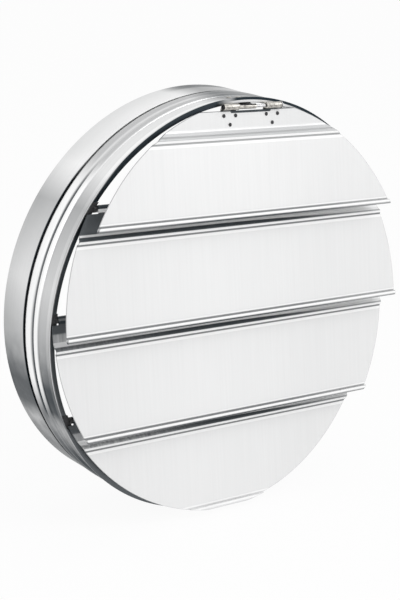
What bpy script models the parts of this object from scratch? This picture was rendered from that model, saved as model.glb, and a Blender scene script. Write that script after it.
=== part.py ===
"""Round gravity louvre damper, nominal size 400.

A rolled casing carries four horizontal sheet blades on its front. The casing's axis lies along Y, the blades
face -Y and +Z is up. Pieces are made with y measured back from the front of the flat seat that the blades close
against. At the end everything moves forward, so that the origin is the centre of the rear rim.
The blades stand ajar at rest, and swing about X: outward to open, back onto the seat to close.
All sizes are in metres.
"""

import math

import bmesh
import bpy
from mathutils import Matrix, Vector

# Casing
BODY_RADIUS = 0.1993            # outside of the plain body wall
SHEET = 0.0010                  # casing and blade sheet
SEAT_INSET = 0.0023             # the seat reaches this far inside BODY_RADIUS
HEM_PROUD = 0.0030              # the folded front stands this far outside it
SLEEVE_LENGTH = 0.0090          # front ring's sleeve over the body
BODY_LENGTH = 0.0580            # body wall, from the seat back to its hidden rear edge
COLLAR_FRONT = 0.0464           # collar's front edge, which laps over the body
COLLAR_REAR = 0.0802            # rear edge of the whole casing
BEAD_1_CENTRE = 0.0390          # swaged beads, measured back from the seat
BEAD_1_HALF_WIDTH = 0.0054
BEAD_2_CENTRE = 0.0268
BEAD_2_HALF_WIDTH = 0.0034
BEAD_HEIGHT = 0.0019

# Blades, in the closed position
BLADE_OVERLAP = 0.0020          # the blades' round outline covers this much of the seat
BLADE_PITCH = 0.0978            # between the axes of neighbouring rods
LOWEST_ROD_RISE = 0.1121        # axis of the lowest rod above the bottom of the blades' outline
HINGE_DROP = 0.0025             # axis of the top blade's hinge below the top of the seat's opening
HINGE_FORWARD = 0.0044          # the same axis in front of the seat
SEAT_CLEARANCE = 0.0003         # between the seat and a closed blade
HINGED_BLADE_GAP = 0.0010       # added to it under the hinged blade
LAP_GAP = 0.0005                # between a closed blade's face and the next blade's upper strip
OFFSET_TOP = 0.0205             # below the axis: where the sheet leaves the upper strip
OFFSET_BOTTOM = 0.0240          # below the axis: where it reaches the face
STIFFENER_CENTRE = 0.0273       # below the axis: half-round bead along the face
STIFFENER_HALF_HEIGHT = 0.0027
STIFFENER_DEPTH = 0.0018
LAP = 0.0124                    # the hem starts this far below the next blade's axis
LOWEST_HEM_RISE = 0.0055        # and this far above the bottom of the outline on the lowest blade
HEM_HEIGHT = 0.0045
HEM_RADIUS = 0.0012             # middle of the sheet, round the folded lower edge
REST_OPENING = math.radians(11.3)

# Rolled edges, rods and bushes
ROD_RADIUS = 0.0018
ROLL_CLEARANCE = 0.0004         # between a rod and the sheet rolled round it
SIDE_PLAY = 0.0024              # a rolled edge can slide this far to either side between its bushes
SIDE_CLEARANCE = 0.0006         # left between a rolled edge and its bush even then
REST_SHARES = {2: -0.67, 3: -1.0, 4: -0.67}     # of that play, to the right, where each blade rests
TOP_BLADE_SHIFT = 0.0012        # middle of the hinged blade, to the right of the casing's centre line
SHOULDER_GAP = 0.0010           # below the rolled edge: the blade widens to its full outline
BUSH_INSET = 0.0012             # a bush reaches this far into the seat's opening
BUSH_HALF_HEIGHT = 0.0062
BUSH_DEPTH = 0.0056
BUSH_RECESS = 0.0001            # a bush's face is this much thinner than the seat that it fills
BUSH_WALL = 0.0011              # round the rod's bore
BUSH_END_WALL = 0.0005          # past the end of the bore
FIT = 0.0003                    # clearance between pieces that touch

# Top hinge
HINGE_OFFSET = 0.0042           # hinge centre, to the right of the casing's centre line
PIN_RADIUS = 0.0014
PIN_HEAD_RADIUS = 0.0023
PIN_HEAD_LENGTH = 0.0009
PIN_TIP = 0.0009                # pin past the clip
CLIP_RADIUS = 0.0036
CLIP_LENGTH = 0.0011
LEAF_CENTRE = 0.0254            # middle of each leaf from the hinge centre
LEAF_WIDTH = 0.0177
LEAF_SHEET = 0.0012
KNUCKLE_CLEARANCE = 0.00045     # between the pin and a leaf's knuckle
LEAF_DROP = 0.0190              # lower edge of a leaf below the axis
STRIP_DROP = 0.0034             # upper edge of the hinged blade below the axis
BRACKET_SHEET = 0.0006
BRACKET_WIDTH = 0.0200
BRACKET_END_GAP = 0.00045       # between the bracket's barrel and the left knuckle
BRACKET_LENGTH = 0.0280
BRACKET_DIP = 0.0010            # the strip dips this much where it passes under the seat

# Rivets
RIVET_RADIUS = 0.0010
RIVET_HEAD_RADIUS = 0.0018
RIVET_HEAD_HEIGHT = 0.0006
RIVET_SPREAD = 0.0069           # upper rivets of a leaf from its middle
RIVET_UPPER_DROP = 0.0078
RIVET_LOWER_DROP = 0.0160
BRACKET_RIVET_RADIUS = 0.0013
BRACKET_RIVET_HEAD_RADIUS = 0.0025
BRACKET_RIVET_HEAD_HEIGHT = 0.0005
BRACKET_RIVET_SPREAD = 0.0055
BRACKET_RIVET_BACK = 0.0160     # behind the seat

# Fineness
CASING_STEPS = 72
OUTLINE_STEPS = 112
SMALL_STEPS = 12
CUT_MARGIN = 0.0010             # cutters stand proud of what they cut by this much

WALL_MIDDLE = BODY_RADIUS - SHEET / 2
SLEEVE_MIDDLE = WALL_MIDDLE + SHEET + FIT
SEAT_INNER_RADIUS = BODY_RADIUS - SEAT_INSET
HEM_OUTER_RADIUS = BODY_RADIUS + HEM_PROUD
BLADE_RADIUS = SEAT_INNER_RADIUS + BLADE_OVERLAP
BUSH_INNER_RADIUS = SEAT_INNER_RADIUS - BUSH_INSET
BUSH_BODY_RADIUS = BODY_RADIUS - SHEET - FIT
BUSH_FACE = SHEET - BUSH_RECESS
NOTCH_RADIUS = HEM_OUTER_RADIUS - 1.1 * SHEET
HINGE_HEIGHT = SEAT_INNER_RADIUS - HINGE_DROP
LOWEST_ROD_HEIGHT = LOWEST_ROD_RISE - BLADE_RADIUS
FIRST_ROD_HEIGHT = LOWEST_ROD_HEIGHT + 2 * BLADE_PITCH
FACE_OFFSET = SHEET + LAP_GAP
ROLL_RADIUS = ROD_RADIUS + ROLL_CLEARANCE + SHEET / 2
SHOULDER_DROP = ROLL_RADIUS + SHEET / 2 + SHOULDER_GAP
KNUCKLE_RADIUS = PIN_RADIUS + KNUCKLE_CLEARANCE + LEAF_SHEET / 2
BARREL_RADIUS = PIN_RADIUS + FIT + BRACKET_SHEET / 2
BRACKET_CENTRE = LEAF_WIDTH / 2 - LEAF_CENTRE + BRACKET_END_GAP + BRACKET_WIDTH / 2
BRACKET_HIGH = HINGE_DROP - BRACKET_SHEET / 2
BRACKET_LOW = BRACKET_HIGH - BRACKET_DIP
ROD_BACK = ROLL_RADIUS - SHEET / 2 - SEAT_CLEARANCE
ROLL_END_GAP = BUSH_INSET + SIDE_PLAY + SIDE_CLEARANCE
AXIS_X = Vector((1.0, 0.0, 0.0))


def clear_scene():
    for item in list(bpy.data.objects):
        bpy.data.objects.remove(item, do_unlink=True)


def make_collection(name):
    collection = bpy.data.collections.new(name)
    bpy.context.scene.collection.children.link(collection)
    return collection


clear_scene()
PARTS = make_collection("gravity_louvre_damper")
CUTTERS = make_collection("cutters")


def make_material(name, colour, roughness, metallic):
    material = bpy.data.materials.new(name)
    material.use_nodes = True
    shader = material.node_tree.nodes["Principled BSDF"]
    shader.inputs["Base Color"].default_value = (*colour, 1.0)
    shader.inputs["Roughness"].default_value = roughness
    shader.inputs["Metallic"].default_value = metallic
    return material


GALVANISED = ("galvanised_sheet", (0.62, 0.64, 0.66), 0.38, 1.0)
BLADE_SHEET = ("blade_sheet", (0.86, 0.86, 0.86), 0.42, 0.9)
ZINC = ("zinc_plated_steel", (0.66, 0.65, 0.61), 0.35, 1.0)
STEEL = ("bright_steel", (0.72, 0.72, 0.73), 0.25, 1.0)
DARK_STEEL = ("dark_steel", (0.06, 0.06, 0.062), 0.45, 1.0)
PLASTIC = ("black_plastic", (0.015, 0.015, 0.016), 0.5, 0.0)


def finish_part(item, name, material):
    """Name the object, give it its own material, put it with the parts and shade it."""
    item.name = name
    item.data.name = name
    item.data.materials.clear()
    label, colour, roughness, metallic = material
    item.data.materials.append(make_material(f"{name}_{label}", colour, roughness, metallic))
    for collection in list(item.users_collection):
        collection.objects.unlink(item)
    PARTS.objects.link(item)
    return item


def smooth(item, angle=math.radians(30)):
    item.data.shade_smooth()
    item.data.set_sharp_from_angle(angle=angle)


def object_from_bmesh(mesh_data, name):
    mesh = bpy.data.meshes.new(name)
    bmesh.ops.recalc_face_normals(mesh_data, faces=mesh_data.faces)
    mesh_data.to_mesh(mesh)
    mesh_data.free()
    item = bpy.data.objects.new(name, mesh)
    CUTTERS.objects.link(item)
    return item


def evaluated_copy(item, name):
    """Return a plain mesh object with the item's modifiers and curve geometry applied."""
    bpy.context.view_layer.update()
    graph = bpy.context.evaluated_depsgraph_get()
    mesh = bpy.data.meshes.new_from_object(item.evaluated_get(graph))
    work = bmesh.new()
    work.from_mesh(mesh)
    bmesh.ops.remove_doubles(work, verts=work.verts, dist=0.000002)
    bmesh.ops.recalc_face_normals(work, faces=work.faces)
    work.to_mesh(mesh)
    work.free()
    copy = bpy.data.objects.new(name, mesh)
    copy.matrix_world = item.matrix_world
    CUTTERS.objects.link(copy)
    bpy.data.objects.remove(item, do_unlink=True)
    return copy


def turned(name, profile, steps):
    """Turn a (radius, y) profile about the Y axis; it is a loop, or starts and ends on the axis."""
    mesh = bpy.data.meshes.new(name)
    points = [(radius, y, 0.0) for radius, y in profile]
    edges = [(index, index + 1) for index in range(len(points) - 1)]
    if profile[0][0] > 0:
        edges.append((len(points) - 1, 0))
    mesh.from_pydata(points, edges, [])
    item = bpy.data.objects.new(name, mesh)
    CUTTERS.objects.link(item)
    screw = item.modifiers.new("turn", "SCREW")
    screw.axis = "Y"
    screw.steps = steps
    screw.render_steps = steps
    screw.use_merge_vertices = True
    screw.merge_threshold = 0.00001
    return evaluated_copy(item, name)


def flat_plate(name, outline, thickness):
    """Extrude a closed outline in local XY by half the thickness each way along local Z."""
    curve = bpy.data.curves.new(name, "CURVE")
    curve.dimensions = "2D"
    curve.fill_mode = "BOTH"
    curve.extrude = thickness / 2
    spline = curve.splines.new("POLY")
    spline.points.add(len(outline) - 1)
    for point, (x, y) in zip(spline.points, outline):
        point.co = (x, y, 0.0, 1.0)
    spline.use_cyclic_u = True
    item = bpy.data.objects.new(name, curve)
    CUTTERS.objects.link(item)
    return evaluated_copy(item, name)


def strip_along_x(name, section, length, centre_x=0.0):
    """Extrude a closed (y, z) section along X."""
    item = flat_plate(name, section, length)
    to_world = Matrix(((0, 0, 1, centre_x), (1, 0, 0, 0), (0, 1, 0, 0), (0, 0, 0, 1)))
    item.data.transform(to_world)
    return item


def sheet_section(path, thickness):
    """Give a path of points a thickness, half on each side, with mitred corners."""
    points = [Vector(point) for point in path]
    directions = [(after - before).normalized() for before, after in zip(points, points[1:])]
    normals = [Vector((-way.y, way.x)) for way in directions]
    left = []
    right = []
    for index, point in enumerate(points):
        first = normals[max(index - 1, 0)]
        second = normals[min(index, len(normals) - 1)]
        mitre = (first + second).normalized()
        reach = thickness / 2 / mitre.dot(first)
        left.append(tuple(point + mitre * reach))
        right.append(tuple(point - mitre * reach))
    return left + right[::-1]


def arc(centre, radius, start, stop, count):
    """Points on an arc in degrees, both ends included."""
    angles = [math.radians(start + (stop - start) * step / (count - 1)) for step in range(count)]
    return [(centre[0] + radius * math.cos(a), centre[1] + radius * math.sin(a)) for a in angles]


def bump(centre, half_width, height, count):
    """Points along a rounded ridge, from one foot to the other, as (position, height)."""
    positions = [-1 + 2 * step / (count - 1) for step in range(count)]
    return [(centre + half_width * p, height * math.cos(p * math.pi / 2) ** 0.7) for p in positions]


def box(name, low, high):
    work = bmesh.new()
    bmesh.ops.create_cube(work, size=1.0)
    size = Vector(high) - Vector(low)
    middle = (Vector(high) + Vector(low)) / 2
    bmesh.ops.scale(work, vec=size, verts=work.verts)
    bmesh.ops.translate(work, vec=middle, verts=work.verts)
    return object_from_bmesh(work, name)


def cylinder(name, radius, length, centre, axis, steps=SMALL_STEPS):
    work = bmesh.new()
    bmesh.ops.create_cone(work, cap_ends=True, segments=steps, radius1=radius, radius2=radius, depth=length)
    turn = Vector((0, 0, 1)).rotation_difference(Vector(axis)).to_matrix()
    bmesh.ops.rotate(work, matrix=turn, verts=work.verts)
    bmesh.ops.translate(work, vec=Vector(centre), verts=work.verts)
    return object_from_bmesh(work, name)


def combine(item, other, operation):
    """Apply a Boolean to the item and remove the other object."""
    modifier = item.modifiers.new(operation.lower(), "BOOLEAN")
    modifier.operation = operation
    modifier.object = other
    modifier.solver = "EXACT"
    result = evaluated_copy(item, item.name)
    bpy.data.objects.remove(other, do_unlink=True)
    return result


# Casing --------------------------------------------------------------------------------------------------------


def build_rear_collar():
    path = [(SLEEVE_MIDDLE, COLLAR_FRONT), (SLEEVE_MIDDLE, COLLAR_REAR)]
    item = turned("rear_collar", sheet_section(path, SHEET), CASING_STEPS)
    smooth(item)
    return finish_part(item, "rear_collar", GALVANISED)


def body_path():
    """Middle of the body's sheet as (radius, y), from its rear edge to its front edge."""
    ridges = bump(BEAD_1_CENTRE, -BEAD_1_HALF_WIDTH, BEAD_HEIGHT, 6)
    ridges += bump(BEAD_2_CENTRE, -BEAD_2_HALF_WIDTH, BEAD_HEIGHT, 5)
    path = [(WALL_MIDDLE, BODY_LENGTH)]
    path += [(WALL_MIDDLE + height, y) for y, height in ridges]
    path.append((WALL_MIDDLE, SHEET + FIT))
    return path


def build_front_body():
    item = turned("front_body", sheet_section(body_path(), SHEET), CASING_STEPS)
    for side in (-1, 1):
        x = HINGE_OFFSET + BRACKET_CENTRE + side * BRACKET_RIVET_SPREAD
        hole = cylinder(
            "rivet_hole",
            BRACKET_RIVET_RADIUS + FIT,
            4 * SHEET,
            (x, BRACKET_RIVET_BACK, WALL_MIDDLE),
            (0, 0, 1),
        )
        item = combine(item, hole, "DIFFERENCE")
    smooth(item)
    return finish_part(item, "front_body", GALVANISED)


def rod_heights():
    return [LOWEST_ROD_HEIGHT + index * BLADE_PITCH for index in (2, 1, 0)]


def seat_segment(name, inner, outer, front, back, height, half_height, side):
    """A piece of a ring about Y, between two radii, cut level above and below."""
    ring = turned(name, [(inner, front), (outer, front), (outer, back), (inner, back)], CASING_STEPS)
    reach = HEM_OUTER_RADIUS + CUT_MARGIN
    near, far = sorted((side * CUT_MARGIN, side * reach))
    window = box(
        "window",
        (near, front - CUT_MARGIN, height - half_height),
        (far, back + CUT_MARGIN, height + half_height),
    )
    return combine(ring, window, "INTERSECT")


def build_front_ring():
    hem_middle = HEM_OUTER_RADIUS - SHEET / 2
    seat_middle = SHEET / 2
    fold_middle = seat_middle + SHEET + FIT / 2
    path = [
        (SLEEVE_MIDDLE, SLEEVE_LENGTH),
        (SLEEVE_MIDDLE, fold_middle),
        (hem_middle, fold_middle),
        (hem_middle, seat_middle),
        (SEAT_INNER_RADIUS, seat_middle),
    ]
    item = turned("front_ring", sheet_section(path, SHEET), CASING_STEPS)
    for height in rod_heights():
        for side in (-1, 1):
            notch = seat_segment(
                "notch",
                SEAT_INNER_RADIUS - CUT_MARGIN,
                NOTCH_RADIUS,
                -CUT_MARGIN,
                SHEET + FIT / 4,
                height,
                BUSH_HALF_HEIGHT + FIT,
                side,
            )
            item = combine(item, notch, "DIFFERENCE")
    smooth(item)
    return finish_part(item, "front_ring", GALVANISED)


def opening_half_width(radius, height):
    return math.sqrt(radius**2 - height**2)


def build_bush(number, height, side):
    """A bush fills the seat's notch and has a body behind it, with a round boss and a blind bore for the rod."""
    name = f"bush_{number}_{'left' if side < 0 else 'right'}"
    face = seat_segment(
        name,
        BUSH_INNER_RADIUS,
        NOTCH_RADIUS - FIT,
        0.0,
        BUSH_FACE,
        height,
        BUSH_HALF_HEIGHT,
        side,
    )
    body = seat_segment(
        "bush_body",
        BUSH_INNER_RADIUS,
        BUSH_BODY_RADIUS,
        BUSH_FACE / 2,
        BUSH_DEPTH,
        height,
        BUSH_HALF_HEIGHT,
        side,
    )
    item = combine(face, body, "UNION")
    bore_radius = ROD_RADIUS + FIT
    boss_radius = bore_radius + BUSH_WALL
    boss_start = opening_half_width(BUSH_INNER_RADIUS, abs(height) + boss_radius)
    boss_end = opening_half_width(BUSH_BODY_RADIUS, abs(height) + boss_radius)
    bore_start = boss_start - 10 * CUT_MARGIN
    bore_end = opening_half_width(BUSH_BODY_RADIUS, abs(height) + bore_radius) - BUSH_END_WALL
    for radius, start, end, operation in (
        (boss_radius, boss_start, boss_end, "UNION"),
        (bore_radius, bore_start, bore_end, "DIFFERENCE"),
    ):
        middle = (side * (start + end) / 2, ROD_BACK, height)
        item = combine(item, cylinder("round", radius, end - start, middle, AXIS_X), operation)
    smooth(item)
    return finish_part(item, name, PLASTIC)


# Blades --------------------------------------------------------------------------------------------------------


def blade_lower_path(strip_y, hem_top):
    """Middle of the sheet as (y, z) from the axis: offset, bead, face and hemmed lower edge."""
    face_y = strip_y - FACE_OFFSET
    path = [(strip_y, -OFFSET_TOP), (face_y, -OFFSET_BOTTOM)]
    ridge = bump(-STIFFENER_CENTRE, -STIFFENER_HALF_HEIGHT, STIFFENER_DEPTH, 6)
    path += [(face_y - depth, z) for z, depth in ridge]
    fold = (face_y - HEM_RADIUS, -hem_top - HEM_HEIGHT + HEM_RADIUS + SHEET / 2)
    path += arc(fold, HEM_RADIUS, 0, -180, 6)
    path.append((face_y - 2 * HEM_RADIUS, -hem_top))
    return path


def rolled_edge_path():
    """Sheet rolled round the rod, ending where it becomes the upper strip."""
    return arc((0.0, 0.0), ROLL_RADIUS, -90, 180, 10)


def trim_to_outline(item, height):
    outline = cylinder("outline", BLADE_RADIUS, 0.1, (0.0, 0.0, -height), (0, 1, 0), OUTLINE_STEPS)
    return combine(item, outline, "INTERSECT")


def place_on_axis(item, y, height, x=0.0):
    """Hang a piece, modelled closed about its axis, ajar on that axis."""
    item.location = (x, y, height)
    item.rotation_euler = (-REST_OPENING, 0.0, 0.0)


def build_rod_blade(number, height, hem_top):
    path = rolled_edge_path() + blade_lower_path(-ROLL_RADIUS, hem_top)
    item = strip_along_x(f"blade_{number}", sheet_section(path, SHEET), 2 * BLADE_RADIUS + 2 * CUT_MARGIN)
    item = trim_to_outline(item, height)
    roll_half = roll_half_length(height)
    top = ROLL_RADIUS + SHEET
    for side in (-1, 1):
        near, far = sorted((side * roll_half, side * (BLADE_RADIUS + CUT_MARGIN)))
        corner = box("corner", (near, -2 * top, -SHOULDER_DROP), (far, 2 * top, 2 * top))
        item = combine(item, corner, "DIFFERENCE")
    smooth(item)
    place_on_axis(item, ROD_BACK, height, REST_SHARES[number] * SIDE_PLAY)
    return finish_part(item, f"blade_{number}", BLADE_SHEET)


def roll_half_length(height):
    highest = max(abs(height + ROLL_RADIUS + SHEET), abs(height - ROLL_RADIUS - SHEET))
    return opening_half_width(SEAT_INNER_RADIUS, highest) - ROLL_END_GAP


def build_rod(number, height):
    bore_end = opening_half_width(BUSH_BODY_RADIUS, abs(height) + ROD_RADIUS + FIT) - BUSH_END_WALL
    half = bore_end - FIT
    item = cylinder(f"rod_{number}", ROD_RADIUS, 2 * half, (0, 0, 0), AXIS_X)
    smooth(item)
    place_on_axis(item, ROD_BACK, height)
    return finish_part(item, f"rod_{number}", STEEL)


def hinged_strip_y():
    """Upper strip of the hinged blade behind its axis."""
    return HINGE_FORWARD - SEAT_CLEARANCE - HINGED_BLADE_GAP - SHEET / 2


def leaf_rivet_places():
    """Places of a leaf's rivets as (x from its middle, z from the axis)."""
    upper = [(side * RIVET_SPREAD, -RIVET_UPPER_DROP) for side in (-1, 1)]
    return upper + [(0.0, -RIVET_LOWER_DROP)]


def cut_leaf_rivet_holes(item, centre_x):
    for x, z in leaf_rivet_places():
        hole = cylinder("hole", RIVET_RADIUS + FIT, 0.02, (centre_x + x, hinged_strip_y(), z), (0, 1, 0))
        item = combine(item, hole, "DIFFERENCE")
    return item


def build_hinged_blade():
    strip_y = hinged_strip_y()
    hem_top = HINGE_HEIGHT - FIRST_ROD_HEIGHT + LAP
    path = [(strip_y, -STRIP_DROP)] + blade_lower_path(strip_y, hem_top)
    item = strip_along_x("blade_1", sheet_section(path, SHEET), 2 * BLADE_RADIUS + 2 * CUT_MARGIN)
    item = trim_to_outline(item, HINGE_HEIGHT)
    for side in (-1, 1):
        item = cut_leaf_rivet_holes(item, HINGE_OFFSET + side * LEAF_CENTRE - TOP_BLADE_SHIFT)
    smooth(item)
    place_on_axis(item, -HINGE_FORWARD, HINGE_HEIGHT, TOP_BLADE_SHIFT)
    return finish_part(item, "blade_1", BLADE_SHEET)


# Top hinge -----------------------------------------------------------------------------------------------------


def leaf_back_y():
    return hinged_strip_y() + SHEET / 2 + FIT + LEAF_SHEET / 2


def build_leaf(side):
    name = f"hinge_leaf_{'left' if side < 0 else 'right'}"
    back = leaf_back_y()
    path = [(back, -LEAF_DROP), (back, -KNUCKLE_RADIUS)]
    path += arc((0.0, 0.0), KNUCKLE_RADIUS, 10, 270, 10)
    item = strip_along_x(name, sheet_section(path, LEAF_SHEET), LEAF_WIDTH)
    item = cut_leaf_rivet_holes(item, 0.0)
    smooth(item)
    place_on_axis(item, -HINGE_FORWARD, HINGE_HEIGHT, HINGE_OFFSET + side * LEAF_CENTRE)
    return finish_part(item, name, ZINC)


def rivet(name, radius, head_radius, head_height, grip, tail_height):
    """A rivet along Y: head in front, shank, tail behind; its origin is under the head."""
    profile = [
        (0.0, -head_height),
        (head_radius * 0.55, -head_height),
        (head_radius, -head_height * 0.35),
        (head_radius, 0.0),
        (radius, 0.0),
        (radius, grip),
        (head_radius * 0.85, grip),
        (head_radius * 0.85, grip + tail_height * 0.6),
        (head_radius * 0.5, grip + tail_height),
        (0.0, grip + tail_height),
    ]
    item = turned(name, profile, SMALL_STEPS)
    smooth(item)
    return item


def build_leaf_rivet(side, index, place):
    x, z = place
    name = f"leaf_rivet_{'left' if side < 0 else 'right'}_{index}"
    grip = SHEET + LEAF_SHEET + 3 * FIT
    item = rivet(name, RIVET_RADIUS, RIVET_HEAD_RADIUS, RIVET_HEAD_HEIGHT, grip, RIVET_HEAD_HEIGHT)
    front = hinged_strip_y() - SHEET / 2 - FIT
    item.data.transform(Matrix.Translation((x, front, z)))
    place_on_axis(item, -HINGE_FORWARD, HINGE_HEIGHT, HINGE_OFFSET + side * LEAF_CENTRE)
    return finish_part(item, name, DARK_STEEL)


def build_hinge_bracket():
    path = arc((0.0, 0.0), BARREL_RADIUS, -45, -270, 10)
    path += [
        (BARREL_RADIUS + SHEET, BRACKET_LOW),
        (HINGE_FORWARD + 2 * SHEET + FIT, BRACKET_LOW),
        (HINGE_FORWARD + 4 * SHEET, BRACKET_HIGH),
        (BRACKET_LENGTH, BRACKET_HIGH),
    ]
    item = strip_along_x("hinge_bracket", sheet_section(path, BRACKET_SHEET), BRACKET_WIDTH)
    for side in (-1, 1):
        hole = cylinder(
            "hole",
            BRACKET_RIVET_RADIUS + FIT,
            4 * SHEET,
            (side * BRACKET_RIVET_SPREAD, HINGE_FORWARD + BRACKET_RIVET_BACK, BRACKET_HIGH),
            (0, 0, 1),
        )
        item = combine(item, hole, "DIFFERENCE")
    smooth(item)
    item.location = (HINGE_OFFSET + BRACKET_CENTRE, -HINGE_FORWARD, HINGE_HEIGHT)
    return finish_part(item, "hinge_bracket", ZINC)


def build_bracket_rivet(side):
    name = f"bracket_rivet_{'left' if side < 0 else 'right'}"
    underside = HINGE_HEIGHT + BRACKET_HIGH - BRACKET_SHEET / 2 - FIT
    x = HINGE_OFFSET + BRACKET_CENTRE + side * BRACKET_RIVET_SPREAD
    top = WALL_MIDDLE + SHEET / 2 + FIT
    item = rivet(
        name,
        BRACKET_RIVET_RADIUS,
        BRACKET_RIVET_HEAD_RADIUS,
        BRACKET_RIVET_HEAD_HEIGHT,
        top - underside,
        BRACKET_RIVET_HEAD_HEIGHT,
    )
    item.data.transform(Matrix.Rotation(math.radians(-90), 4, "X"))
    item.location = (x, BRACKET_RIVET_BACK, top)
    return finish_part(item, name, ZINC)


def hinge_half_length():
    return LEAF_CENTRE + LEAF_WIDTH / 2


def build_hinge_pin():
    left = -hinge_half_length() - FIT
    right = hinge_half_length() + FIT + CLIP_LENGTH + PIN_TIP
    profile = [
        (0.0, left - PIN_HEAD_LENGTH),
        (PIN_HEAD_RADIUS * 0.7, left - PIN_HEAD_LENGTH),
        (PIN_HEAD_RADIUS, left - PIN_HEAD_LENGTH / 2),
        (PIN_HEAD_RADIUS, left),
        (PIN_RADIUS, left),
        (PIN_RADIUS, right),
        (0.0, right),
    ]
    item = turned("hinge_pin", profile, SMALL_STEPS)
    item.data.transform(Matrix.Rotation(math.radians(-90), 4, "Z"))
    smooth(item)
    item.location = (HINGE_OFFSET, -HINGE_FORWARD, HINGE_HEIGHT)
    return finish_part(item, "hinge_pin", STEEL)


def build_pin_clip():
    bore = PIN_RADIUS + FIT
    profile = [(bore, 0.0), (CLIP_RADIUS, 0.0), (CLIP_RADIUS, CLIP_LENGTH / 2), (bore, CLIP_LENGTH)]
    item = turned("hinge_pin_clip", profile, SMALL_STEPS)
    item.data.transform(Matrix.Rotation(math.radians(-90), 4, "Z"))
    smooth(item)
    item.location = (HINGE_OFFSET + hinge_half_length() + FIT, -HINGE_FORWARD, HINGE_HEIGHT)
    return finish_part(item, "hinge_pin_clip", STEEL)


def main():
    build_rear_collar()
    build_front_body()
    build_front_ring()
    heights = rod_heights()
    for index, height in enumerate(heights):
        number = index + 2
        hem_top = BLADE_PITCH + LAP
        if height == LOWEST_ROD_HEIGHT:
            hem_top = LOWEST_ROD_RISE - LOWEST_HEM_RISE
        build_rod_blade(number, height, hem_top)
        build_rod(number, height)
        for side in (-1, 1):
            build_bush(number, height, side)
    build_hinged_blade()
    build_hinge_bracket()
    build_hinge_pin()
    build_pin_clip()
    for side in (-1, 1):
        build_leaf(side)
        build_bracket_rivet(side)
        for index, place in enumerate(leaf_rivet_places(), start=1):
            build_leaf_rivet(side, index, place)
    for item in PARTS.objects:
        item.location.y -= COLLAR_REAR


main()
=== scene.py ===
"""Finished look of the round gravity louvre damper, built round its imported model.

Pieces are made with y measured back from the front of the seat, as the maker would measure them. Each is
then placed in the model's own frame, whose origin is the centre of the rear rim. Blades are hung ajar.
"""

import math

import bmesh
import bpy
from mathutils import Matrix, Vector


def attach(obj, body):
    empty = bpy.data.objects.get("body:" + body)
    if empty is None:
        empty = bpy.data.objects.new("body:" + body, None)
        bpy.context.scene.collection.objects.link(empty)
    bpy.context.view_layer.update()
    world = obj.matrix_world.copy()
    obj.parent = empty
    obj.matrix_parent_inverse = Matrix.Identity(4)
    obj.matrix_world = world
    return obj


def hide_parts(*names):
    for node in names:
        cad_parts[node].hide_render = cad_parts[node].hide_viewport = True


bl_info = {
    "name": "Round gravity louvre damper",
    "version": (1, 0, 0),
    "blender": (4, 5, 0),
    "location": "3D View > Sidebar > Louvre",
    "description": "Makes a round duct casing with hinged gravity blades",
    "category": "Add Mesh",
}

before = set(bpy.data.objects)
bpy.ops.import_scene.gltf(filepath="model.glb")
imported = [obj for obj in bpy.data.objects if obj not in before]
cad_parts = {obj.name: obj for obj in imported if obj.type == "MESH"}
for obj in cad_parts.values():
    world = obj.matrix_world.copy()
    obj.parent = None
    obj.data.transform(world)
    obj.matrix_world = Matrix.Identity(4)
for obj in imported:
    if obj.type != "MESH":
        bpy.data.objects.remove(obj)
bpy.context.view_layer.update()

BODY_OF_BLADE = {1: "top_blade", 2: "second_blade", 3: "third_blade", 4: "bottom_blade"}
FULL_TURN = 2 * math.pi
CASING_STEPS = 360
TOUCHING = 0.000001             # points nearer than this are one
ROUND_STEPS = 32                # round a rod, a pin or a bore
RIVET_STEPS = 24
SHEET_SPACING = 0.0022          # between rows of points down a blade
SHARP_EDGE = 40.0               # degrees; gentler edges are shaded smooth
SHARP_FOLD = 50.0               # the same on folded sheet, and for edges that are softened
REST_SHARES = {2: -0.67, 3: -1.0, 4: -0.67}     # of the side play, to the right, where each blade rests


def length(name, description, default):
    return bpy.props.FloatProperty(
        name=name, description=description, default=default, precision=5, unit="LENGTH", subtype="DISTANCE"
    )


def angle(name, description, degrees):
    return bpy.props.FloatProperty(
        name=name, description=description, default=math.radians(degrees), unit="ROTATION", subtype="ANGLE"
    )


def colour(name, description, default):
    return bpy.props.FloatVectorProperty(
        name=name, description=description, default=default, size=3, min=0.0, max=1.0, subtype="COLOR"
    )


def amount(name, description, default):
    return bpy.props.FloatProperty(
        name=name, description=description, default=default, min=0.0, max=1.0, subtype="FACTOR"
    )


# Settings -------------------------------------------------------------------------------------------------


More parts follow.
